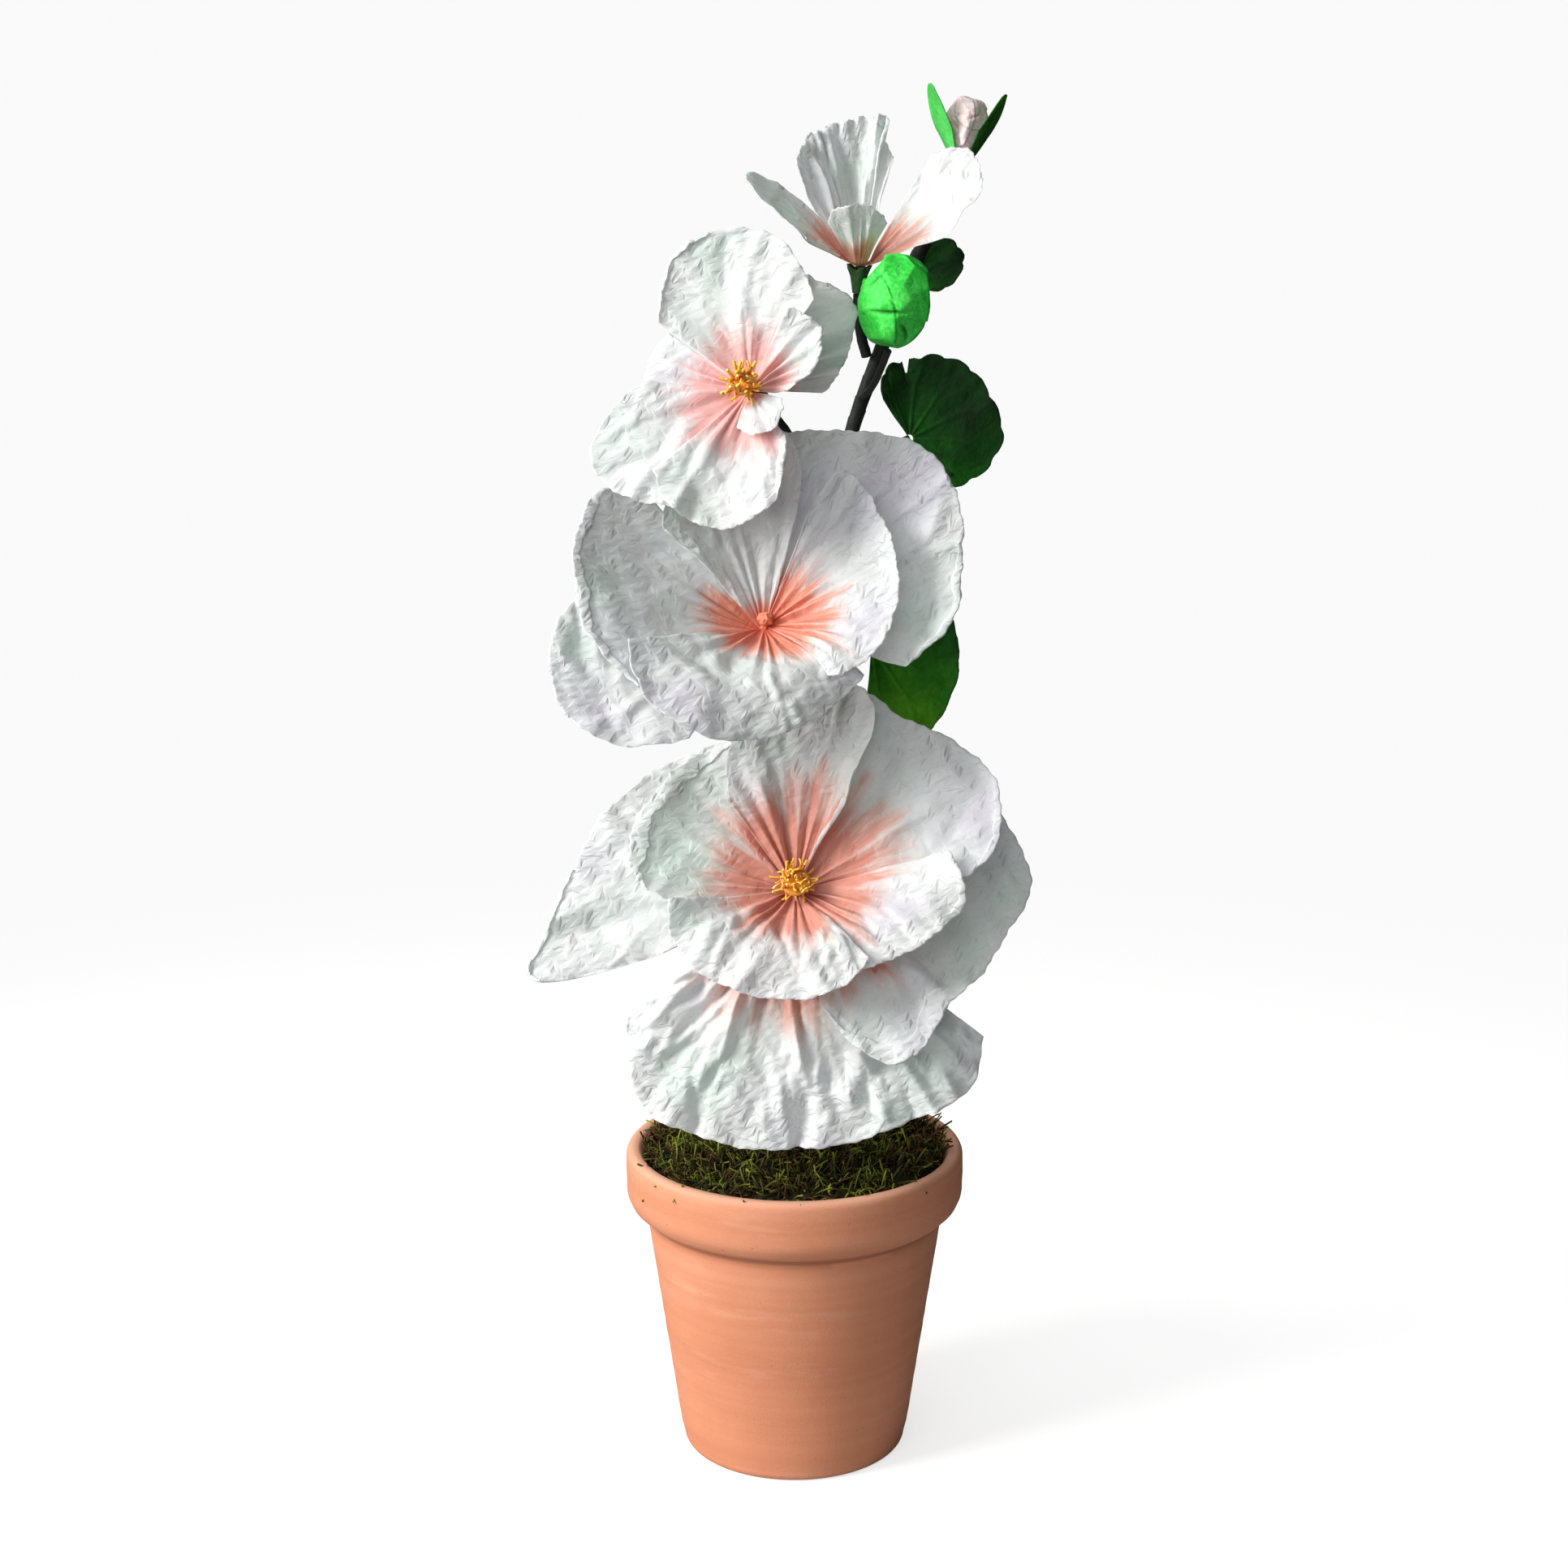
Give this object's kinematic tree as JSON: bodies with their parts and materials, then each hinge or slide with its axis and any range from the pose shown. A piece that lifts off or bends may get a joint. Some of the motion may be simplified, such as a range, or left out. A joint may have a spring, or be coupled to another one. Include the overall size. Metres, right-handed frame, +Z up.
{
  "type": "potted paper flower",
  "caption": "Tall paper hollyhock with translucent tissue blooms, buds and round leaves on a wire stem in a moss-topped terracotta pot.",
  "frame": {"origin": "centre of the object's footprint box, on the plane that the pot stands on", "axes": "+Z up along the stem, -Y is the way the blooms face"},
  "size_m": [0.1488, 0.13, 0.4203],
  "materials": {
    "terracotta": "unglazed fired clay, matt, orange brown with faint throwing rings",
    "foam": "dry florist's foam, hidden under the moss",
    "moss": "dried sheet moss, dark with yellow-green and brown fibres",
    "stem": "wire wrapped in very dark green florist's tape",
    "calyx": "dark green crepe paper",
    "stamen": "tuft of fine cut paper, golden yellow",
    "coral_core": "twisted tissue paper, coral",
    "tissue": "thin translucent crumpled tissue paper, cool white, dyed coral at the base",
    "green_paper": "crumpled bright green paper",
    "dark_leaf": "dark green paper, matt",
    "bright_leaf": "mid green paper, matt"
  },
  "bodies": {
    "root": {"pot": "terracotta", "foam_plug": "foam", "moss": "moss", "stem": "stem", "bottom_pedicel": "stem", "middle_pedicel": "stem", "upper_pedicel": "stem", "top_pedicel": "stem", "bud_stalk": "stem", "upper_leaf_stalk": "stem", "lower_leaf_stalk": "stem", "top_leaf_stalk": "stem", "bud_calyx": "calyx", "bottom_calyx": "calyx", "middle_calyx": "calyx", "upper_calyx": "calyx", "top_calyx": "calyx", "bottom_stamens": "stamen", "upper_stamens": "stamen", "middle_heart": "coral_core", "top_heart": "coral_core", "bottom_petal_outer_bottom": "tissue", "bottom_petal_outer_right": "tissue", "bottom_petal_outer_left": "tissue", "bottom_petal_right_top": "tissue", "bottom_petal_left": "tissue", "bottom_petal_top": "tissue", "bottom_petal_right_lower": "tissue", "bottom_petal_bottom": "tissue", "middle_petal_back_right": "tissue", "middle_petal_outer_left": "tissue", "middle_petal_left": "tissue", "middle_petal_top": "tissue", "middle_petal_front": "tissue", "middle_petal_right": "tissue", "upper_petal_back": "tissue", "upper_petal_left": "tissue", "upper_petal_lower_left": "tissue", "upper_petal_top": "tissue", "upper_petal_bottom": "tissue", "upper_petal_right": "tissue", "upper_petal_front": "tissue", "top_petal_right": "tissue", "top_petal_back": "tissue", "top_petal_left": "tissue", "top_petal_front": "tissue", "top_bud": "tissue", "green_bud": "green_paper", "bud_left_sepal": "green_paper", "upper_leaf": "dark_leaf", "top_leaf": "dark_leaf", "bud_right_sepal": "dark_leaf", "bud_back_sepal": "dark_leaf", "lower_leaf": "bright_leaf"}
  },
  "joints": []
}
